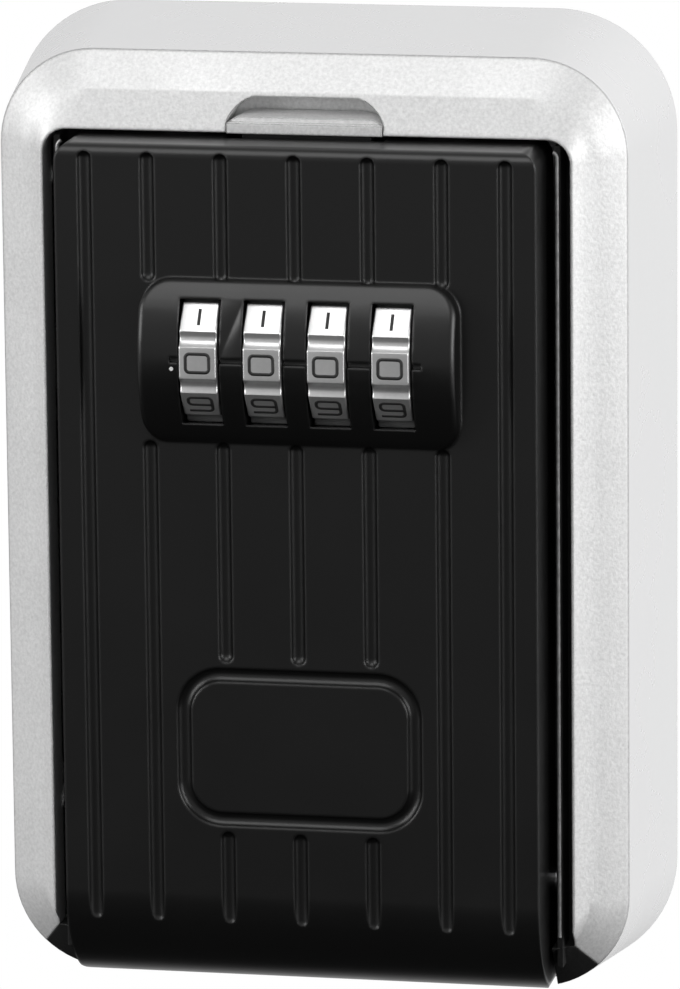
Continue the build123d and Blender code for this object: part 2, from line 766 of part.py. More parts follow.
def tab_cap():
    # The silver cap seen in the notch: a bowed, sloped top over a strip that lies flush with the frame
    strip_top = opening_top + tab_strip
    low = opening_top - tab_strip_drop
    half = tab_half_width
    bow = ThreePointArc((half, strip_top), (half - 1.2, tab_top - 0.5), (half - 4.2, tab_top))
    other = ThreePointArc((-half + 4.2, tab_top), (-half + 1.2, tab_top - 0.5), (-half, strip_top))
    rest = Polyline([(-half, strip_top), (-half, low), (half, low), (half, strip_top)])
    outline = make_face(bow + Line((half - 4.2, tab_top), (-half + 4.2, tab_top)) + other + rest)
    cap = extrude(Plane.XZ.offset(tab_back) * outline, tab_depth - tab_step)
    side_view = [(tab_back, low), (tab_front, low), (tab_front, tab_top - tab_slope), (tab_back, tab_top)]
    cap &= side_plate(side_view, -half, half)
    cap += block(-half, half, tab_back, tab_front, low, strip_top)
    core = tab_core_half_width + seat
    room = block(-core, core, tab_back + tab_wall - seat, tab_front - tab_front_wall + seat, low - past,
                 tab_top - tab_top_wall + seat)
    return cap - room


def click_leaf():
    # One flat spring with a finger behind each wheel
    base = block(lock_shift - leaf_half_width, lock_shift + leaf_half_width, cover_inner,
                 cover_inner + leaf_sheet, axis_z - 21.5, axis_z - 16.0)
    for x in leaf_rivet_x:
        base -= rod_y(x, leaf_rivet_z, rivet_radius + running, cover_inner - past, cover_inner + 2)
    near = cover_inner
    far = wheel_back - leaf_tip
    tip_z = axis_z - 2.9
    rise = [(near, axis_z - 16.5), (far, axis_z - 12), (far, tip_z - 0.7), (far + 0.7, tip_z),
            (far, tip_z + 0.7), (far + leaf_sheet, tip_z + 0.9), (far + 1.2, tip_z),
            (far + leaf_sheet, tip_z - 0.9), (far + leaf_sheet, axis_z - 12.1),
            (near + leaf_sheet, axis_z - 16.6)]
    for x in wheel_centres:
        base += side_plate(rise, x - finger_half_width, x + finger_half_width)
    return base


def leaf_rivets():
    return [rivet(x, leaf_rivet_z, cover_depth, cover_inner + leaf_sheet, leaf_rivet_head)
            for x in leaf_rivet_x]


def comb_rivets():
    return [rivet(x, comb_rivet_z, latch_back, comb_front, comb_rivet_head) for x in comb_rivet_x]


def code_lever():
    arm_left = wheel_centres[0] + cup_open - cup_depth - cup_disc - 0.2 - lever_arm_sheet
    base = block(arm_left, knob_x + 3.5, cover_inner + slip / 2, cover_inner + 1.6,
                 lever_z - 2.5, lever_z + 2.5)
    half = lever_half_height
    knob = block(knob_x - half, knob_x + half, cover_depth - 1.6, cover_inner + join,
                 lever_z - half, lever_z + half)
    near = cover_inner + join
    fork = side_plate([(near, lever_z - 2.0), (near + 2, lever_z - 2.0), (near + 2, axis_z - 11.5),
                       (axis_depth + 1.2, axis_z - 7.0), (axis_depth + 1.2, axis_z - 2.0),
                       (axis_depth - 1.3, axis_z - 2.0), (near, axis_z - 6.0)],
                      arm_left, arm_left + lever_arm_sheet)
    return base + knob + fork


os.makedirs("parts", exist_ok=True)
frame_form = frame_dome()
save("case_shell", case_shell())
save("front_frame", front_frame(frame_form))
save("inner_liner", inner_liner(frame_form))
save("keeper_left", keeper(-1))
save("keeper_right", keeper(1))
save("keeper_screws", [keeper_screw(side) for side in (1, -1)])
save("liner_screws", liner_screws())
save("frame_screws", frame_screws())
save("hinge_pins", [hinge_pin(side) for side in (1, -1)])
save("door_shell", door_shell())
save("lock_cover", lock_cover())
save("cover_screws", cover_screws())
save("spindle", spindle())
save("spindle_clips", [spindle_clip(bracket_left - bracket_sheet - 0.9),
                       spindle_clip(bracket_right + bracket_sheet + 0.1)])
save("bracket_left", bracket(bracket_left - bracket_sheet))
save("bracket_right", bracket(bracket_right))
save("click_leaf", click_leaf())
save("leaf_rivets", leaf_rivets())
save("clutch_spring", clutch_spring())
save("tab_springs", tab_springs())
save("latch_springs", latch_springs())
for number, centre in enumerate(wheel_centres, start=1):
    save(f"dial_wheel_{number}", number_wheel(centre))
    save(f"dial_sleeve_{number}", dial_sleeve(centre))
save("latch_plate", latch_plate())
save("locking_comb", locking_comb())
save("comb_rivets", comb_rivets())
save("release_tab", release_tab())
save("tab_cap", tab_cap())
save("code_lever", code_lever())
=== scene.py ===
import json
import math

import bmesh
import bpy
from mathutils import Matrix, Vector
from mathutils.bvhtree import BVHTree


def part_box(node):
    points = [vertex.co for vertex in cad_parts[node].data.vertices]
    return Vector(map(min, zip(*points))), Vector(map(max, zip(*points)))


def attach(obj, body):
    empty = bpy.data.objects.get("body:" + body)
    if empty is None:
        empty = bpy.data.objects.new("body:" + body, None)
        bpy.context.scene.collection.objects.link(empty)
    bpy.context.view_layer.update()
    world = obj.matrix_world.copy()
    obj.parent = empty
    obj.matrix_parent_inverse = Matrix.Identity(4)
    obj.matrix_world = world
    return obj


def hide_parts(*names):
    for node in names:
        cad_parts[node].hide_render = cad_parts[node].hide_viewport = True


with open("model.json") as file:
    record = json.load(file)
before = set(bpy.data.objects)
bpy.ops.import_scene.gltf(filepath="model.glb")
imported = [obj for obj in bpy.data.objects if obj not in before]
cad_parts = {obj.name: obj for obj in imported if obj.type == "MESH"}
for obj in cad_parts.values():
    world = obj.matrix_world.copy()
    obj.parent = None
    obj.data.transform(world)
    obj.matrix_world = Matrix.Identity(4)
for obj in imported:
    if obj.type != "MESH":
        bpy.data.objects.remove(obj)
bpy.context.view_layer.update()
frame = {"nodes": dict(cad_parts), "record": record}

# A wall-mounted key box with four number wheels. Sizes named in mm are turned into metres by mm.
mm = 0.001
nodes = frame["nodes"]
scene = bpy.context.scene
bodies = frame["record"]["behaviour"]["bodies"]
nodeBody = {node: body for body, members in bodies.items() for node in members}
print("frame loaded:", len(nodes), "nodes")

# The camera stands where the photograph was taken from. Lengths are in millimetres, angles in degrees.
viewPoint = {"turn": 11.303, "lift": 12.486, "roll": -0.572, "distance": 968.7,
             "target": (4.957, -30.0, 5.553), "focalPixels": 7676.1, "imageHeight": 989,
             "sensorWidth": 36, "nearest": 10, "farthest": 50000}


def makeCamera(settings):
    turn = math.radians(settings["turn"])
    lift = math.radians(settings["lift"])
    forward = Vector((-math.sin(turn) * math.cos(lift), math.cos(turn) * math.cos(lift), -math.sin(lift)))
    side = Vector((math.cos(turn), math.sin(turn), 0))
    up = side.cross(forward)
    roll = math.radians(settings["roll"])
    right = side * math.cos(roll) + up * math.sin(roll)
    top = up * math.cos(roll) - side * math.sin(roll)
    camera = bpy.data.cameras.new("camera")
    camera.sensor_width = settings["sensorWidth"]
    camera.lens = settings["focalPixels"] / settings["imageHeight"] * camera.sensor_width
    camera.clip_start = settings["nearest"] * mm
    camera.clip_end = settings["farthest"] * mm
    holder = bpy.data.objects.new("camera", camera)
    scene.collection.objects.link(holder)
    place = Vector(settings["target"]) * mm - forward * settings["distance"] * mm
    holder.matrix_world = Matrix((
        (right.x, top.x, -forward.x, place.x),
        (right.y, top.y, -forward.y, place.y),
        (right.z, top.z, -forward.z, place.z),
        (0, 0, 0, 1)))
    scene.camera = holder


makeCamera(viewPoint)
scene.view_settings.view_transform = "Standard"

# Studio light: a panel on each side, one above, and a pale surround, brighter behind on the right.
# Distances are in metres. The camera sees a white floor, and the light meets a dark one.
lightPanels = {
    "keyRight": {"at": (1.9, -0.5, 0.35), "size": 1.2, "power": 26},
    "fillLeft": {"at": (-1.7, -1.0, 0.5), "size": 1.2, "power": 21},
    "top": {"at": (-0.2, -1.1, 1.5), "size": 1.2, "power": 11},
}
surround = {"front": 0.43, "back": 0.9, "backAim": (0.55, 0.8, 0.2), "backFrom": 0.1, "backTo": 0.8}
floorPlane = {"drop": 0.4, "halfSize": 1.0, "centreDepth": 0.75, "level": 0.012, "seenLevel": 1.0,
              "rough": 0.9}


def addLight(name, settings):
    lamp = bpy.data.lights.new(name, "AREA")
    lamp.size = settings["size"]
    lamp.energy = settings["power"]
    holder = bpy.data.objects.new(name, lamp)
    holder.location = settings["at"]
    aim = -Vector(settings["at"])
    holder.rotation_euler = aim.to_track_quat("-Z", "Y").to_euler()
    scene.collection.objects.link(holder)


def makeSurround(settings):
    world = bpy.data.worlds.new("surround")
    scene.world = world
    world.use_nodes = True
    tree = world.node_tree
    tree.nodes.clear()
    lighting = tree.nodes.new("ShaderNodeBackground")
    where = tree.nodes.new("ShaderNodeTexCoord")
    toBack = tree.nodes.new("ShaderNodeVectorMath")
    toBack.operation = "DOT_PRODUCT"
    toBack.inputs[1].default_value = settings["backAim"]
    level = tree.nodes.new("ShaderNodeMapRange")
    level.interpolation_type = "SMOOTHSTEP"
    ends = {"From Min": "backFrom", "From Max": "backTo", "To Min": "front", "To Max": "back"}
    for socket, value in ends.items():
        level.inputs[socket].default_value = settings[value]
    tree.links.new(where.outputs["Generated"], toBack.inputs[0])
    tree.links.new(toBack.outputs["Value"], level.inputs["Value"])
    tree.links.new(level.outputs[0], lighting.inputs["Strength"])
    seen = tree.nodes.new("ShaderNodeBackground")
    ray = tree.nodes.new("ShaderNodeLightPath")
    mix = tree.nodes.new("ShaderNodeMixShader")
    out = tree.nodes.new("ShaderNodeOutputWorld")
    for background in (lighting, seen):
        background.inputs["Color"].default_value = (1, 1, 1, 1)
    tree.links.new(ray.outputs["Is Camera Ray"], mix.inputs[0])
    tree.links.new(lighting.outputs[0], mix.inputs[1])
    tree.links.new(seen.outputs[0], mix.inputs[2])
    tree.links.new(mix.outputs[0], out.inputs[0])


def floorMaterial(settings):
    # The camera sees it evenly seenLevel bright, and other rays meet a matt surface of the given level
    level = settings["level"]
    seenLevel = settings["seenLevel"]
    material = bpy.data.materials.new("floorPale")
    material.use_nodes = True
    tree = material.node_tree
    shade = tree.nodes["Principled BSDF"]
    shade.inputs["Base Color"].default_value = (level, level, level, 1)
    shade.inputs["Roughness"].default_value = settings["rough"]
    glow = tree.nodes.new("ShaderNodeEmission")
    glow.inputs["Color"].default_value = (seenLevel, seenLevel, seenLevel, 1)
    ray = tree.nodes.new("ShaderNodeLightPath")
    mix = tree.nodes.new("ShaderNodeMixShader")
    tree.links.new(ray.outputs["Is Camera Ray"], mix.inputs[0])
    tree.links.new(shade.outputs[0], mix.inputs[1])
    tree.links.new(glow.outputs[0], mix.inputs[2])
    tree.links.new(mix.outputs[0], tree.nodes["Material Output"].inputs[0])
    return material


def makeFloor(settings):
    half = settings["halfSize"]
    mesh = bpy.data.meshes.new("floor")
    corners = [(-half, -half, 0), (half, -half, 0), (half, half, 0), (-half, half, 0)]
    mesh.from_pydata(corners, [], [(0, 1, 2, 3)])
    mesh.transform(Matrix.Translation((0, -settings["centreDepth"], -settings["drop"])))
    mesh.materials.append(floorMaterial(settings))
    plane = bpy.data.objects.new("floor", mesh)
    scene.collection.objects.link(plane)


for name, settings in lightPanels.items():
    addLight(name, settings)
makeSurround(surround)
makeFloor(floorPlane)
print("camera and light ready")


def newGroup(name, inputs, outputs):
    # A shader group with its sockets; inputs are (name, kind, default)
    group = bpy.data.node_groups.new(name, "ShaderNodeTree")
    for label, kind, value in inputs:
        socket = group.interface.new_socket(label, in_out="INPUT", socket_type=kind)
        if value is not None:
            socket.default_value = value
    for label, kind in outputs:
        group.interface.new_socket(label, in_out="OUTPUT", socket_type=kind)
    return group, group.nodes.new("NodeGroupInput"), group.nodes.new("NodeGroupOutput")


def addNode(tree, kind, **values):
    node = tree.nodes.new(kind)
    for key, value in values.items():
        if hasattr(node, key):
            setattr(node, key, value)
        else:
            node.inputs[key].default_value = value
    return node


def addMath(tree, operation, first, second=None, third=None):
    node = tree.nodes.new("ShaderNodeMath")
    node.operation = operation
    for place, value in enumerate((first, second, third)):
        if value is None:
            continue
        if isinstance(value, (int, float)):
            node.inputs[place].default_value = value
        else:
            tree.links.new(value, node.inputs[place])
    return node.outputs[0]


# Shared by all finishes. Sizes of noise are per metre, bumpReach is in millimetres.
textureLook = {"cloudSize": 90.0, "cloudShare": 0.25, "wearAndShadeSize": 700.0, "edgeGain": 6.0, "bevelSamples": 6,
               "dustSize": 260.0, "dustColor": (0.6, 0.6, 0.58), "noiseLow": 0.3, "noiseHigh": 0.7,
               "bumpReach": 0.2}


def grainGroup():
    # Fine paint grain: a colour level from two sizes of noise, and a height from the fine one
    group, given, result = newGroup(
        "paintGrain",
        [("Vector", "NodeSocketVector", None), ("Size", "NodeSocketFloat", 2500.0),
         ("Depth", "NodeSocketFloat", 0.1), ("Color", "NodeSocketColor", (0.8, 0.8, 0.8, 1))],
        [("Color", "NodeSocketColor"), ("Height", "NodeSocketFloat")])
    fine = addNode(group, "ShaderNodeTexNoise", Detail=2.0, Roughness=0.6)
    coarse = addNode(group, "ShaderNodeTexNoise", Scale=textureLook["cloudSize"], Detail=3.0)
    group.links.new(given.outputs["Vector"], fine.inputs["Vector"])
    group.links.new(given.outputs["Size"], fine.inputs["Scale"])
    group.links.new(given.outputs["Vector"], coarse.inputs["Vector"])
    speck = addMath(group, "SUBTRACT", fine.outputs[0], 0.5)
    cloud = addMath(group, "MULTIPLY", addMath(group, "SUBTRACT", coarse.outputs[0], 0.5),
                    textureLook["cloudShare"])
    level = addMath(group, "MULTIPLY_ADD", addMath(group, "ADD", speck, cloud), given.outputs["Depth"], 1.0)
    scale = addNode(group, "ShaderNodeVectorMath", operation="SCALE")
    group.links.new(given.outputs["Color"], scale.inputs[0])
    group.links.new(level, scale.inputs["Scale"])
    group.links.new(scale.outputs[0], result.inputs["Color"])
    group.links.new(fine.outputs[0], result.inputs["Height"])
    return group


def wearAndShadeGroup():
    # Where edges are: 0 on flats, up to 1 on edges, broken up by noise and only ahead of From Depth.
    # This mask carries real edge wear, and on the silver frame painted shade along the opening's edge.
    # Also gives the softened normal.
    group, given, result = newGroup(
        "edgeWearAndShade",
        [("Vector", "NodeSocketVector", None), ("Radius", "NodeSocketFloat", 0.0004),
         ("Amount", "NodeSocketFloat", 1.0), ("Start", "NodeSocketFloat", 0.05),
         ("From Depth", "NodeSocketFloat", -1.0)],
        [("Mask", "NodeSocketFloat"), ("Normal", "NodeSocketVector")])
    rounded = addNode(group, "ShaderNodeBevel", samples=textureLook["bevelSamples"])
    flat = addNode(group, "ShaderNodeNewGeometry")
    group.links.new(given.outputs["Radius"], rounded.inputs["Radius"])
    dot = addNode(group, "ShaderNodeVectorMath", operation="DOT_PRODUCT")
    group.links.new(rounded.outputs[0], dot.inputs[0])
    group.links.new(flat.outputs["Normal"], dot.inputs[1])
    edge = addMath(group, "MULTIPLY", addMath(group, "SUBTRACT", 1.0, dot.outputs["Value"]),
                   textureLook["edgeGain"])
    past = addMath(group, "MAXIMUM", addMath(group, "SUBTRACT", edge, given.outputs["Start"]), 0.0)
    noise = addNode(group, "ShaderNodeTexNoise", Scale=textureLook["wearAndShadeSize"], Detail=4.0)
    group.links.new(given.outputs["Vector"], noise.inputs["Vector"])
    apart = addNode(group, "ShaderNodeSeparateXYZ")
    group.links.new(given.outputs["Vector"], apart.inputs[0])
    depth = addMath(group, "MULTIPLY", apart.outputs[1], -1.0)
    ahead = addMath(group, "GREATER_THAN", depth, given.outputs["From Depth"])
    broken = addMath(group, "MULTIPLY", addMath(group, "MULTIPLY", past, noise.outputs[0]), ahead)
    amount = addMath(group, "MULTIPLY", broken, given.outputs["Amount"])
    group.links.new(addMath(group, "MINIMUM", amount, 1.0), result.inputs["Mask"])
    group.links.new(rounded.outputs[0], result.inputs["Normal"])
    return group


def smudgeGroup():
    # Slow changes of roughness, as handling and uneven spray leave them
    group, given, result = newGroup(
        "smudges",
        [("Vector", "NodeSocketVector", None), ("Low", "NodeSocketFloat", 0.3),
         ("High", "NodeSocketFloat", 0.5), ("Size", "NodeSocketFloat", 60.0)],
        [("Roughness", "NodeSocketFloat")])
    noise = addNode(group, "ShaderNodeTexNoise", Detail=5.0, Roughness=0.55)
    group.links.new(given.outputs["Vector"], noise.inputs["Vector"])
    group.links.new(given.outputs["Size"], noise.inputs["Scale"])
    spread = addNode(group, "ShaderNodeMapRange")
    spread.inputs["From Min"].default_value = textureLook["noiseLow"]
    spread.inputs["From Max"].default_value = textureLook["noiseHigh"]
    group.links.new(noise.outputs[0], spread.inputs["Value"])
    group.links.new(given.outputs["Low"], spread.inputs["To Min"])
    group.links.new(given.outputs["High"], spread.inputs["To Max"])
    group.links.new(spread.outputs[0], result.inputs["Roughness"])
    return group


def dustGroup():
    # Pale dust that lies on faces turned upwards
    group, given, result = newGroup(
        "dust",
        [("Vector", "NodeSocketVector", None), ("Amount", "NodeSocketFloat", 0.1)],
        [("Mask", "NodeSocketFloat")])
    face = addNode(group, "ShaderNodeNewGeometry")
    apart = addNode(group, "ShaderNodeSeparateXYZ")
    group.links.new(face.outputs["Normal"], apart.inputs[0])
    noise = addNode(group, "ShaderNodeTexNoise", Scale=textureLook["dustSize"], Detail=6.0,
                    Roughness=0.7)
    group.links.new(given.outputs["Vector"], noise.inputs["Vector"])
    up = addMath(group, "MAXIMUM", apart.outputs[2], 0.0)
    lying = addMath(group, "MULTIPLY", up, noise.outputs[0])
    amount = addMath(group, "MULTIPLY", lying, given.outputs["Amount"])
    group.links.new(amount, result.inputs["Mask"])
    return group


paintGrain = grainGroup()
edgeWearAndShade = wearAndShadeGroup()
smudges = smudgeGroup()
dust = dustGroup()

# One entry for each finish. Colours are linear, sizes of noise are per metre, and the radius called soft
# is in millimetres, as is the depth behind which no edge gets wear or painted shade.
finishDefaults = {"wearAndShadeStart": 0.05, "wearAndShadeFrom": -1000, "specular": 0.5}
finishes = {
    "silverCase": {"color": (0.72, 0.72, 0.725), "metal": 0.4, "rough": (0.24, 0.3), "grain": 0.04,
                   "grainSize": 1800, "bump": 0.008, "wearAndShade": 0.1, "wearAndShadeColor": (0.85, 0.85, 0.85),
                   "soft": 0.4, "dust": 0.04},
    # silverFrame's near-black edge colour, forward of 24.6 mm depth, is painted shade of the dark reveal
    # beside the door
    "silverFrame": {"color": (0.68, 0.68, 0.68), "metal": 0.3, "rough": (0.4, 0.5), "grain": 0.5,
                    "grainSize": 2300, "bump": 0.12, "wearAndShade": 3.0, "wearAndShadeStart": 0.4, "wearAndShadeFrom": 24.6,
                    "wearAndShadeColor": (0.03, 0.03, 0.03), "soft": 0.4, "dust": 0.02},
    "blackDoor": {"color": (0.003, 0.003, 0.003), "metal": 0.0, "rough": (0.28, 0.34), "grain": 0.3,
                  "grainSize": 2600, "bump": 0.012, "wearAndShade": 0.05, "wearAndShadeColor": (0.1, 0.1, 0.1),
                  "soft": 0.5, "dust": 0.01},
    # The liner's own black inside the opening; its black ends at the frame's bottom corners are painted
    # shade where the frame curves under
    "blackLinerAndShade": {"color": (0.008, 0.008, 0.008), "metal": 0.0, "rough": (0.5, 0.7), "grain": 0.5,
                   "grainSize": 1100, "bump": 0.35, "wearAndShade": 0.15, "wearAndShadeColor": (0.08, 0.08, 0.08),
                   "specular": 0.3, "soft": 0.2, "dust": 0.03},
    # Light grey lip bead: partly a bare edge, partly a painted highlight of the glossy black lip
    "lipEdgeAndHighlight": {"color": (0.4, 0.4, 0.4), "metal": 0.6, "rough": (0.25, 0.5), "grain": 1.2,
                "grainSize": 900, "bump": 0.2, "wearAndShade": 0.1, "wearAndShadeColor": (0.1, 0.1, 0.1),
                "soft": 0.1, "dust": 0.0},
    "wheelPlate": {"color": (0.66, 0.66, 0.66), "metal": 0.85, "rough": (0.28, 0.38), "grain": 0.15,
                   "grainSize": 1400, "bump": 0.03, "wearAndShade": 0.6, "wearAndShadeColor": (0.95, 0.95, 0.95),
                   "soft": 0.12, "dust": 0.0},
    "plainSteel": {"color": (0.5, 0.5, 0.51), "metal": 1.0, "rough": (0.25, 0.4), "grain": 0.15,
                   "grainSize": 900, "bump": 0.02, "wearAndShade": 0.4, "wearAndShadeColor": (0.8, 0.8, 0.8),
                   "soft": 0.1, "dust": 0.05},
    "coverMetal": {"color": (0.035, 0.035, 0.035), "metal": 0.2, "rough": (0.4, 0.55), "grain": 0.3,
                   "grainSize": 1200, "bump": 0.03, "wearAndShade": 0.3, "wearAndShadeColor": (0.2, 0.2, 0.2),
                   "soft": 0.15, "dust": 0.06},
    "castZinc": {"color": (0.45, 0.45, 0.46), "metal": 0.8, "rough": (0.4, 0.55), "grain": 0.3,
                 "grainSize": 900, "bump": 0.05, "wearAndShade": 0.2, "wearAndShadeColor": (0.6, 0.6, 0.6),
                 "soft": 0.15, "dust": 0.03},
    "turnedBrass": {"color": (0.62, 0.44, 0.18), "metal": 1.0, "rough": (0.25, 0.35), "grain": 0.15,
                    "grainSize": 900, "bump": 0.02, "wearAndShade": 0.2, "wearAndShadeColor": (0.8, 0.65, 0.35),
                    "soft": 0.1, "dust": 0.03},
    "blackPlastic": {"color": (0.02, 0.02, 0.02), "metal": 0.0, "rough": (0.4, 0.5), "grain": 0.2,
                     "grainSize": 1400, "bump": 0.03, "wearAndShade": 0.1, "wearAndShadeColor": (0.1, 0.1, 0.1),
                     "soft": 0.15, "dust": 0.03},
    "greyPlastic": {"color": (0.3, 0.3, 0.3), "metal": 0.0, "rough": (0.4, 0.5), "grain": 0.15,
                    "grainSize": 1400, "bump": 0.02, "wearAndShade": 0.1, "wearAndShadeColor": (0.5, 0.5, 0.5),
                    "soft": 0.15, "dust": 0.03},
    "blackInk": {"color": (0.012, 0.012, 0.012), "metal": 0.0, "rough": (0.5, 0.6), "grain": 0.4,
                 "grainSize": 3000, "bump": 0.02, "wearAndShade": 0.0, "wearAndShadeColor": (0.1, 0.1, 0.1),
                 "soft": 0.02, "dust": 0.0},
    # White for the painted highlight dot on the housing
    "glintWhite": {"color": (0.8, 0.8, 0.8), "metal": 0.0, "rough": (0.5, 0.6), "grain": 0.1,
                 "grainSize": 2000, "bump": 0.02, "wearAndShade": 0.0, "wearAndShadeColor": (0.9, 0.9, 0.9),
                 "soft": 0.02, "dust": 0.0},
}


def mixColor(tree, factor, first, second):
    # The mix node's colour sockets are inputs 6 and 7 and output 2
    mix = addNode(tree, "ShaderNodeMix", data_type="RGBA")
    tree.links.new(factor, mix.inputs[0])
    tree.links.new(first, mix.inputs[6])
    mix.inputs[7].default_value = (*second, 1)
    return mix.outputs[2]


def makeFinish(name, given):
    settings = {**finishDefaults, **given}
    material = bpy.data.materials.new(name)
    material.use_nodes = True
    tree = material.node_tree
    shade = tree.nodes["Principled BSDF"]
    where = tree.nodes.new("ShaderNodeTexCoord").outputs["Object"]
    grain = addNode(tree, "ShaderNodeGroup", node_tree=paintGrain)
    wearAndShade = addNode(tree, "ShaderNodeGroup", node_tree=edgeWearAndShade)
    rough = addNode(tree, "ShaderNodeGroup", node_tree=smudges)
    dusting = addNode(tree, "ShaderNodeGroup", node_tree=dust)
    for node in (grain, wearAndShade, rough, dusting):
        tree.links.new(where, node.inputs["Vector"])
    grain.inputs["Size"].default_value = settings["grainSize"]
    grain.inputs["Depth"].default_value = settings["grain"]
    grain.inputs["Color"].default_value = (*settings["color"], 1)
    wearAndShade.inputs["Radius"].default_value = settings["soft"] * mm
    wearAndShade.inputs["Amount"].default_value = settings["wearAndShade"]
    wearAndShade.inputs["Start"].default_value = settings["wearAndShadeStart"]
    wearAndShade.inputs["From Depth"].default_value = settings["wearAndShadeFrom"] * mm
    dusting.inputs["Amount"].default_value = settings["dust"]
    rough.inputs["Low"].default_value = settings["rough"][0]
    rough.inputs["High"].default_value = settings["rough"][1]
    # Edge colour: real wear on most finishes, painted shade on the silver frame's opening edge
    wornAndShaded = mixColor(tree, wearAndShade.outputs["Mask"], grain.outputs["Color"], settings["wearAndShadeColor"])
    dusty = mixColor(tree, dusting.outputs["Mask"], wornAndShaded, textureLook["dustColor"])
    tree.links.new(dusty, shade.inputs["Base Color"])
    tree.links.new(rough.outputs["Roughness"], shade.inputs["Roughness"])
    bump = tree.nodes.new("ShaderNodeBump")
    bump.inputs["Strength"].default_value = settings["bump"]
    bump.inputs["Distance"].default_value = textureLook["bumpReach"] * mm
    tree.links.new(grain.outputs["Height"], bump.inputs["Height"])
    tree.links.new(wearAndShade.outputs["Normal"], bump.inputs["Normal"])
    tree.links.new(bump.outputs[0], shade.inputs["Normal"])
    shade.inputs["Metallic"].default_value = settings["metal"]
    shade.inputs["Specular IOR Level"].default_value = settings["specular"]
    return material


materials = {name: makeFinish(name, settings) for name, settings in finishes.items()}
print("finishes made:", len(materials))


def linkPiece(name, mesh, finish, body):
    piece = bpy.data.objects.new(name, mesh)
    scene.collection.objects.link(piece)
    mesh.materials.clear()
    mesh.materials.append(materials[finish])
    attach(piece, body)
    return piece


def settleMesh(piece, modifiers):
    # Applies modifiers, given as (kind, {setting: value}), and leaves a plain mesh
    for kind, values in modifiers:
        modifier = piece.modifiers.new(kind.lower(), kind)
        for key, value in values.items():
            setattr(modifier, key, value)
    bpy.context.view_layer.update()
    seen = piece.evaluated_get(bpy.context.evaluated_depsgraph_get())
    mesh = bpy.data.meshes.new_from_object(seen)
    piece.modifiers.clear()
    old = piece.data
    piece.data = mesh
    bpy.data.meshes.remove(old)


def roundEdges(width, angle):
    return ("BEVEL", {"width": width * mm, "segments": 2, "limit_method": "ANGLE",
                      "angle_limit": math.radians(angle), "harden_normals": True,
                      "use_clamp_overlap": True, "miter_outer": "MITER_ARC"})


weldLook = {"distance": 0.002, "flatAngle": 0.5}


def mergedCopy(node):
    # The frame's own mesh is loose triangles; a copy is welded and its flat faces joined up
    mesh = nodes[node].data.copy()
    work = bmesh.new()
    work.from_mesh(mesh)
    bmesh.ops.remove_doubles(work, verts=work.verts, dist=weldLook["distance"] * mm)
    bmesh.ops.dissolve_limit(work, angle_limit=math.radians(weldLook["flatAngle"]), verts=work.verts,
                             edges=work.edges)
    work.to_mesh(mesh)
    work.free()
    if "custom_normal" in mesh.attributes:
        mesh.attributes.remove(mesh.attributes["custom_normal"])
    mesh.shade_smooth()
    return mesh


# Pieces that keep their frame shape and get rounded edges: finish, edge radius in mm, least edge angle
roundedPieces = {
    "case_shell": {"finish": "silverCase", "edge": 0.45, "angle": 35},
    "front_frame": {"finish": "silverFrame", "edge": 0.3, "angle": 12},
    # inner_liner is black inside the opening, and painted shade as black ends at the frame's bottom corners
    "inner_liner": {"finish": "blackLinerAndShade", "edge": 0.2, "angle": 35},
    "lock_cover": {"finish": "coverMetal", "edge": 0.2, "angle": 35},
    "release_tab": {"finish": "blackPlastic", "edge": 0.2, "angle": 35},
    "tab_cap": {"finish": "silverFrame", "edge": 0.25, "angle": 35},
    "keeper_left": {"finish": "plainSteel", "edge": 0.15, "angle": 35},
    "keeper_right": {"finish": "plainSteel", "edge": 0.15, "angle": 35},
    "latch_plate": {"finish": "plainSteel", "edge": 0.12, "angle": 35},
    "code_lever": {"finish": "greyPlastic", "edge": 0.15, "angle": 35},
}


def makeRounded(node, settings):
    piece = linkPiece(node + "_piece", mergedCopy(node), settings["finish"], nodeBody[node])
    settleMesh(piece, [roundEdges(settings["edge"], settings["angle"])])
    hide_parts(node)


for node, settings in roundedPieces.items():
    makeRounded(node, settings)
print("rounded pieces made")

doorLook = {"finish": "blackDoor", "sharpAngle": 32}


def makeDoor(settings):
    # The door's many small fillets are in its frame shape, so it is only smoothed
    mesh = mergedCopy("door_shell")
    mesh.set_sharp_from_angle(angle=math.radians(settings["sharpAngle"]))
    piece = linkPiece("door_shell_piece", mesh, settings["finish"], nodeBody["door_shell"])
    settleMesh(piece, [("WEIGHTED_NORMAL", {"keep_sharp": True})])
    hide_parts("door_shell")
    return piece


doorPiece = makeDoor(doorLook)
print("door made")


def newTree(name, inputs):
    # A geometry tree with its sockets; inputs are (name, kind, default)
    tree = bpy.data.node_groups.new(name, "GeometryNodeTree")
    tree.interface.new_socket("Geometry", in_out="INPUT", socket_type="NodeSocketGeometry")
    for label, kind, value in inputs:
        socket = tree.interface.new_socket(label, in_out="INPUT", socket_type=kind)
        if value is not None:
            socket.default_value = value
    tree.interface.new_socket("Geometry", in_out="OUTPUT", socket_type="NodeSocketGeometry")
    return tree, tree.nodes.new("NodeGroupInput"), tree.nodes.new("NodeGroupOutput")


def finishTree(tree, given, result, geometry):
    # Every tree ends in real geometry with its material
    real = tree.nodes.new("GeometryNodeRealizeInstances")
    paint = tree.nodes.new("GeometryNodeSetMaterial")
    tree.links.new(geometry, real.inputs[0])
    tree.links.new(real.outputs[0], paint.inputs[0])
    tree.links.new(given.outputs["Material"], paint.inputs["Material"])
    tree.links.new(paint.outputs[0], result.inputs[0])


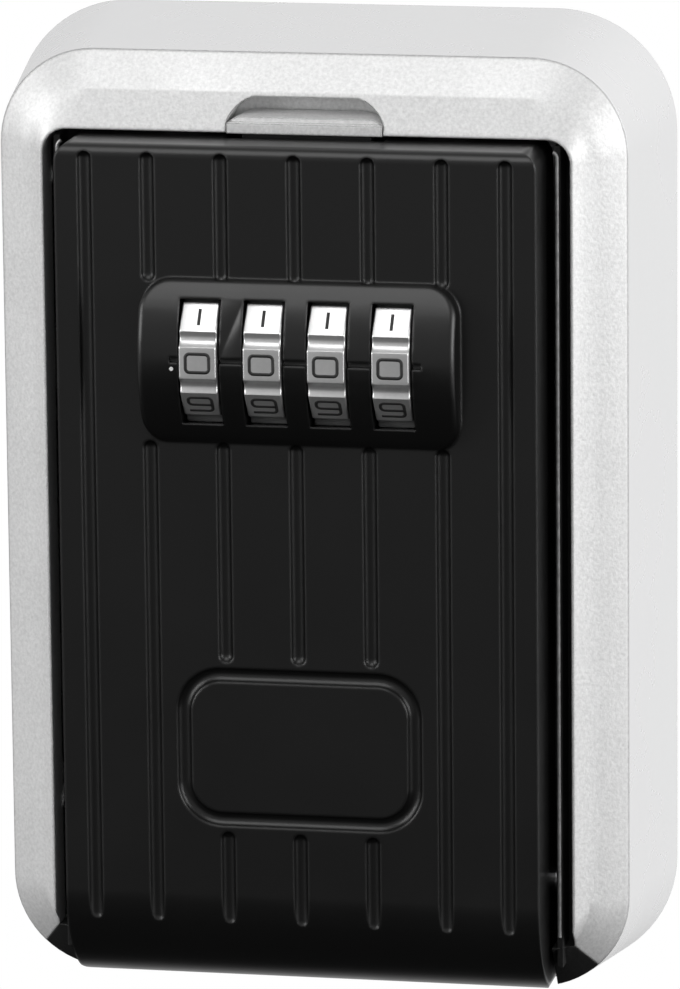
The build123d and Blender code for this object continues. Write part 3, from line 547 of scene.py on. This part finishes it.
def growMesh(name, data, tree, values):
    # Runs a geometry tree on data with the given named inputs and returns a plain mesh
    holder = bpy.data.objects.new(name, data)
    scene.collection.objects.link(holder)
    modifier = holder.modifiers.new("grow", "NODES")
    modifier.node_group = tree
    sockets = {item.name: item.identifier for item in tree.interface.items_tree if item.in_out == "INPUT"}
    for label, value in values.items():
        modifier[sockets[label]] = value
    bpy.context.view_layer.update()
    seen = holder.evaluated_get(bpy.context.evaluated_depsgraph_get())
    mesh = bpy.data.meshes.new_from_object(seen)
    bpy.data.objects.remove(holder)
    return mesh


def wheelTree():
    # A faceted wheel about X: a rounded section swept round, its radius set by facets and valleys
    valleyBlend = 0.12 * mm
    tree, given, result = newTree("numberWheel", [
        ("Facets", "NodeSocketInt", 10), ("Apothem", "NodeSocketFloat", 0.0095),
        ("Rim Radius", "NodeSocketFloat", 0.0097), ("Bore Radius", "NodeSocketFloat", 0.0025),
        ("Width", "NodeSocketFloat", 0.00475), ("Valley Radius", "NodeSocketFloat", 0.00115),
        ("Valley Centre", "NodeSocketFloat", 0.01035), ("Edge Round", "NodeSocketFloat", 0.00025),
        ("Steps Per Facet", "NodeSocketInt", 24), ("Material", "NodeSocketMaterial", None)])
    put = given.outputs
    middle = addMath(tree, "MULTIPLY", addMath(tree, "ADD", put["Rim Radius"], put["Bore Radius"]), 0.5)
    thick = addMath(tree, "SUBTRACT", put["Rim Radius"], put["Bore Radius"])
    ring = tree.nodes.new("GeometryNodeCurvePrimitiveCircle")
    steps = addMath(tree, "MULTIPLY", put["Facets"], put["Steps Per Facet"])
    tree.links.new(steps, ring.inputs["Resolution"])
    tree.links.new(middle, ring.inputs["Radius"])
    section = tree.nodes.new("GeometryNodeCurvePrimitiveQuadrilateral")
    tree.links.new(thick, section.inputs["Width"])
    tree.links.new(put["Width"], section.inputs["Height"])
    soft = addNode(tree, "GeometryNodeFilletCurve", mode="POLY", Count=3)
    tree.links.new(section.outputs[0], soft.inputs[0])
    tree.links.new(put["Edge Round"], soft.inputs["Radius"])
    swept = tree.nodes.new("GeometryNodeCurveToMesh")
    tree.links.new(ring.outputs[0], swept.inputs["Curve"])
    tree.links.new(soft.outputs[0], swept.inputs["Profile Curve"])
    place = tree.nodes.new("GeometryNodeInputPosition")
    apart = tree.nodes.new("ShaderNodeSeparateXYZ")
    tree.links.new(place.outputs[0], apart.inputs[0])
    x, y, z = apart.outputs[0], apart.outputs[1], apart.outputs[2]
    reach = addMath(tree, "SQRT", addMath(tree, "ADD", addMath(tree, "MULTIPLY", x, x),
                                          addMath(tree, "MULTIPLY", y, y)))
    half = addMath(tree, "DIVIDE", math.pi, put["Facets"])
    turn = addMath(tree, "ABSOLUTE", addMath(tree, "WRAP", addMath(tree, "ARCTAN2", y, x),
                                             addMath(tree, "MULTIPLY", half, -1.0), half))
    flat = addMath(tree, "DIVIDE", put["Apothem"], addMath(tree, "COSINE", turn))
    off = addMath(tree, "SUBTRACT", half, turn)
    across = addMath(tree, "MULTIPLY", put["Valley Centre"], addMath(tree, "SINE", off))
    along = addMath(tree, "MULTIPLY", put["Valley Centre"], addMath(tree, "COSINE", off))
    valleySquare = addMath(tree, "MULTIPLY", put["Valley Radius"], put["Valley Radius"])
    inside = addMath(tree, "SUBTRACT", valleySquare, addMath(tree, "MULTIPLY", across, across))
    depth = addMath(tree, "SQRT", addMath(tree, "MAXIMUM", inside, 0.0))
    dip = addMath(tree, "SUBTRACT", along, depth)
    outer = addMath(tree, "SMOOTH_MIN", addMath(tree, "MINIMUM", flat, put["Rim Radius"]), dip, valleyBlend)
    share = addMath(tree, "DIVIDE", addMath(tree, "SUBTRACT", reach, put["Bore Radius"]), thick)
    radius = addMath(tree, "ADD", put["Bore Radius"],
                     addMath(tree, "MULTIPLY", share, addMath(tree, "SUBTRACT", outer, put["Bore Radius"])))
    scale = addMath(tree, "DIVIDE", radius, reach)
    turned = tree.nodes.new("ShaderNodeCombineXYZ")
    tree.links.new(z, turned.inputs[0])
    tree.links.new(addMath(tree, "MULTIPLY", addMath(tree, "MULTIPLY", x, scale), -1.0), turned.inputs[1])
    tree.links.new(addMath(tree, "MULTIPLY", addMath(tree, "MULTIPLY", y, scale), -1.0), turned.inputs[2])
    moved = tree.nodes.new("GeometryNodeSetPosition")
    tree.links.new(swept.outputs[0], moved.inputs[0])
    tree.links.new(turned.outputs[0], moved.inputs["Position"])
    finishTree(tree, given, result, moved.outputs[0])
    return tree


def sweepFilled(tree, path, section):
    # Sweeps a section along a path and closes its ends
    swept = tree.nodes.new("GeometryNodeCurveToMesh")
    swept.inputs["Fill Caps"].default_value = True
    tree.links.new(path, swept.inputs["Curve"])
    tree.links.new(section, swept.inputs["Profile Curve"])
    return swept.outputs[0]


def addPath(curve, points, closed=False):
    line = curve.splines.new("POLY")
    line.points.add(len(points) - 1)
    for point, spot in zip(line.points, points):
        point.co = (*spot, 1)
    line.use_cyclic_u = closed


def strokeTree():
    # Painted strokes: each curve gets rounded corners and a flat section
    tree, given, result = newTree("paintedStroke", [
        ("Line Width", "NodeSocketFloat", 0.00036), ("Line Height", "NodeSocketFloat", 0.00006),
        ("Corner", "NodeSocketFloat", 0.00045), ("Material", "NodeSocketMaterial", None)])
    soft = addNode(tree, "GeometryNodeFilletCurve", mode="POLY", Count=4)
    soft.inputs["Limit Radius"].default_value = True
    tree.links.new(given.outputs[0], soft.inputs[0])
    tree.links.new(given.outputs["Corner"], soft.inputs["Radius"])
    section = tree.nodes.new("GeometryNodeCurvePrimitiveQuadrilateral")
    tree.links.new(given.outputs["Line Width"], section.inputs["Width"])
    tree.links.new(given.outputs["Line Height"], section.inputs["Height"])
    upright = addNode(tree, "GeometryNodeSetCurveNormal", mode="Z_UP")
    tree.links.new(soft.outputs[0], upright.inputs[0])
    finishTree(tree, given, result, sweepFilled(tree, upright.outputs[0], section.outputs[0]))
    return tree


wheelLook = {"count": 4, "facets": 10, "facetSink": 0.2, "boreRadius": 2.5, "valleyRadius": 1.15,
             "valleyRise": 0.65, "edgeRound": 0.22, "sharpAngle": 40, "finish": "wheelPlate"}
digitLook = {"width": 3.0, "height": 2.35, "line": 0.4, "thick": 0.06, "corner": 0.5, "finish": "blackInk"}

# Each digit as strokes in a box one unit wide and high; True marks a closed stroke
digitStrokes = {
    0: [(True, [(-.5, -.5), (.5, -.5), (.5, .5), (-.5, .5)])],
    1: [(False, [(0, -.48), (0, .48)])],
    2: [(False, [(-.5, .5), (.5, .5), (.5, 0), (-.5, 0), (-.5, -.5), (.5, -.5)])],
    3: [(False, [(-.5, .5), (.5, .5), (.5, -.5), (-.5, -.5)]), (False, [(-.3, 0), (.5, 0)])],
    4: [(False, [(-.5, .5), (-.5, -.1), (.5, -.1)]), (False, [(.2, .5), (.2, -.5)])],
    5: [(False, [(.5, .5), (-.5, .5), (-.5, .05), (.5, .05), (.5, -.5), (-.5, -.5)])],
    6: [(False, [(.5, .5), (-.5, .5), (-.5, -.5), (.5, -.5), (.5, .05), (-.5, .05)])],
    7: [(False, [(-.5, .5), (.5, .5), (-.05, -.5)])],
    8: [(True, [(-.5, -.5), (.5, -.5), (.5, .5), (-.5, .5)]), (False, [(-.5, 0), (.5, 0)])],
    9: [(False, [(.5, -.05), (-.5, -.05), (-.5, .5), (.5, .5), (.5, -.5), (-.5, -.5)])],
}


def digitMesh(number, settings, tree):
    curve = bpy.data.curves.new(f"digit{number}", "CURVE")
    curve.dimensions = "3D"
    for closed, points in digitStrokes[number]:
        spots = [(x * settings["width"] * mm, y * settings["height"] * mm, 0) for x, y in points]
        addPath(curve, spots, closed)
    return growMesh(f"digit{number}", curve, tree, {
        "Line Width": settings["line"] * mm, "Line Height": settings["thick"] * mm,
        "Corner": settings["corner"] * mm, "Material": materials[settings["finish"]]})


def joinMeshes(name, parts):
    # Joins (mesh, matrix) pairs into one mesh
    work = bmesh.new()
    for mesh, place in parts:
        copy = mesh.copy()
        copy.transform(place)
        work.from_mesh(copy)
        bpy.data.meshes.remove(copy)
    bmesh.ops.recalc_face_normals(work, faces=work.faces)
    joined = bpy.data.meshes.new(name)
    work.to_mesh(joined)
    work.free()
    return joined


def facetPlace(centre, apothem, facet, facets):
    # The matrix that puts a flat drawing on one facet, upright when that facet is at the front
    turn = facet * 2 * math.pi / facets
    out = Vector((0, -math.cos(turn), math.sin(turn)))
    up = Vector((0, math.sin(turn), math.cos(turn)))
    spot = centre + out * apothem
    return Matrix((
        (1, up.x, out.x, spot.x),
        (0, up.y, out.y, spot.y),
        (0, up.z, out.z, spot.z),
        (0, 0, 0, 1)))


def makeWheels(look, digits):
    wheelShape = wheelTree()
    strokeShape = strokeTree()
    flatDigits = [digitMesh(number, digits, strokeShape) for number in range(look["facets"])]
    for index in range(1, look["count"] + 1):
        node = f"dial_wheel_{index}"
        low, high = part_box(node)
        centre = (low + high) / 2
        rim = (high.z - low.z) / 2
        apothem = rim - look["facetSink"] * mm
        mesh = growMesh(node, bpy.data.meshes.new(node), wheelShape, {
            "Facets": look["facets"], "Apothem": apothem, "Rim Radius": rim,
            "Bore Radius": look["boreRadius"] * mm, "Width": high.x - low.x,
            "Valley Radius": look["valleyRadius"] * mm, "Valley Centre": rim + look["valleyRise"] * mm,
            "Edge Round": look["edgeRound"] * mm, "Material": materials[look["finish"]]})
        mesh = joinMeshes(node, [(mesh, Matrix.Translation(centre))])
        mesh.shade_smooth()
        mesh.set_sharp_from_angle(angle=math.radians(look["sharpAngle"]))
        wheel = linkPiece(node + "_piece", mesh, look["finish"], nodeBody[node])
        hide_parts(node)
        painted = joinMeshes(f"digits_{index}", [
            (flatDigits[facet], facetPlace(centre, apothem, facet, look["facets"]))
            for facet in range(look["facets"])])
        linkPiece(f"digits_{index}", painted, digits["finish"], nodeBody[node])


makeWheels(wheelLook, digitLook)
print("wheels and digits made")

glintDotLook = {"at": (-14.95, 22.65), "radius": 0.3, "taper": 0.8, "height": 0.05, "sides": 24,
           "rayStart": 100, "finish": "glintWhite"}


def makeGlintDot(settings):
    # A painted highlight: a small white dot for the glint at a groove's end, laid on the housing where a
    # line from the front meets it
    x, z = (value * mm for value in settings["at"])
    surface = BVHTree.FromObject(doorPiece, bpy.context.evaluated_depsgraph_get())
    spot, normal = surface.ray_cast(Vector((x, -settings["rayStart"] * mm, z)), Vector((0, 1, 0)))[:2]
    radius = settings["radius"] * mm
    work = bmesh.new()
    bmesh.ops.create_cone(work, cap_ends=True, segments=settings["sides"], radius1=radius,
                          radius2=radius * settings["taper"], depth=2 * settings["height"] * mm)
    mesh = bpy.data.meshes.new("painted_glint_dot")
    work.to_mesh(mesh)
    work.free()
    mesh.transform(Matrix.Translation(spot) @ normal.to_track_quat("Z", "Y").to_matrix().to_4x4())
    linkPiece("painted_glint_dot", mesh, settings["finish"], "door")


makeGlintDot(glintDotLook)

# room is the liner's distance from the door; top and foot are measured in from the door's ends
lipLook = {"room": 1.0, "inset": 0.35, "radius": 0.27, "bend": 1.0, "bendAngle": 60, "bendSteps": 6,
           "top": 1.9, "foot": 8.0, "front": 0.75, "finish": "lipEdgeAndHighlight"}


def beadTree():
    # A round bead along a path
    tree, given, result = newTree("edgeBead", [
        ("Radius", "NodeSocketFloat", 0.00027), ("Sides", "NodeSocketInt", 10),
        ("Material", "NodeSocketMaterial", None)])
    section = tree.nodes.new("GeometryNodeCurvePrimitiveCircle")
    tree.links.new(given.outputs["Sides"], section.inputs["Resolution"])
    tree.links.new(given.outputs["Radius"], section.inputs["Radius"])
    finishTree(tree, given, result, sweepFilled(tree, given.outputs[0], section.outputs[0]))
    return tree


def makeLips(look):
    # The front edge of the liner's lips beside the door, bent inwards at the top: a light grey bead, partly
    # the lip's bare edge and partly a painted highlight of the glossy lip
    doorLow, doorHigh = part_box("door_shell")
    tree = beadTree()
    bend = look["bend"] * mm
    top = doorHigh.z - look["top"] * mm
    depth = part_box("front_frame")[0].y + look["front"] * mm
    for name, side in (("lip_left", -1), ("lip_right", 1)):
        x = side * (doorHigh.x + (look["room"] + look["inset"]) * mm)
        points = [(x, depth, doorLow.z + look["foot"] * mm)]
        for step in range(look["bendSteps"] + 1):
            turn = step / look["bendSteps"] * math.radians(look["bendAngle"])
            points.append((x - side * bend * (1 - math.cos(turn)), depth, top + bend * math.sin(turn)))
        curve = bpy.data.curves.new(name, "CURVE")
        curve.dimensions = "3D"
        addPath(curve, points)
        mesh = growMesh(name, curve, tree, {
            "Radius": look["radius"] * mm, "Material": materials[look["finish"]]})
        mesh.shade_smooth()
        linkPiece(name, mesh, look["finish"], "case")


makeLips(lipLook)
print("lips made")

# Pieces that keep their frame shape as it is: node and finish
plainNodes = {
    "keeper_screws": "plainSteel", "liner_screws": "plainSteel", "frame_screws": "plainSteel",
    "cover_screws": "plainSteel", "hinge_pins": "plainSteel", "spindle": "plainSteel",
    "spindle_clips": "plainSteel", "bracket_left": "castZinc", "bracket_right": "castZinc",
    "click_leaf": "plainSteel", "leaf_rivets": "plainSteel", "clutch_spring": "plainSteel",
    "tab_springs": "plainSteel", "latch_springs": "plainSteel", "locking_comb": "castZinc",
    "comb_rivets": "plainSteel",
}
for number in range(1, wheelLook["count"] + 1):
    plainNodes[f"dial_sleeve_{number}"] = "turnedBrass"
for node, finish in plainNodes.items():
    mesh = nodes[node].data
    mesh.materials.clear()
    mesh.materials.append(materials[finish])
